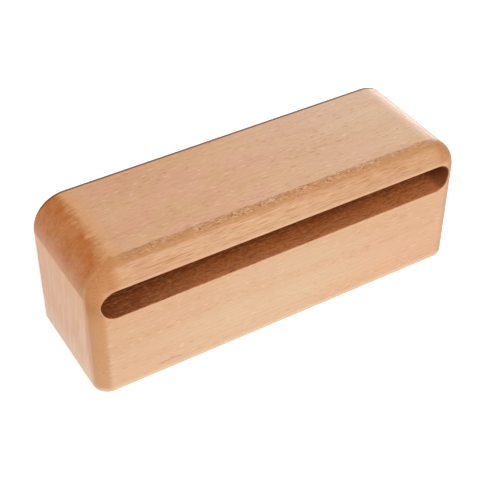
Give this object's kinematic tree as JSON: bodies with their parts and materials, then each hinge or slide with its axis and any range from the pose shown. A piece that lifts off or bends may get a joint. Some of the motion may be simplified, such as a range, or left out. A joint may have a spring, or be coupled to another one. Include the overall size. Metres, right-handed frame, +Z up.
{
  "type": "woodblock",
  "caption": "Rectangular beech woodblock with a long round-ended tone slot in its front face, rounded upper corners and a flat base; struck on top with a beater.",
  "frame": {"origin": "middle of the base, on the surface that the block stands on", "axes": "+X along the block, +Y from the slotted front face to the plain rear face, +Z up"},
  "size_m": [0.2, 0.063, 0.073],
  "materials": {
    "beech": "clear satin lacquer over fine-grained beech, slot left unfinished"
  },
  "bodies": {
    "root": {"block_body": "beech"}
  },
  "joints": []
}
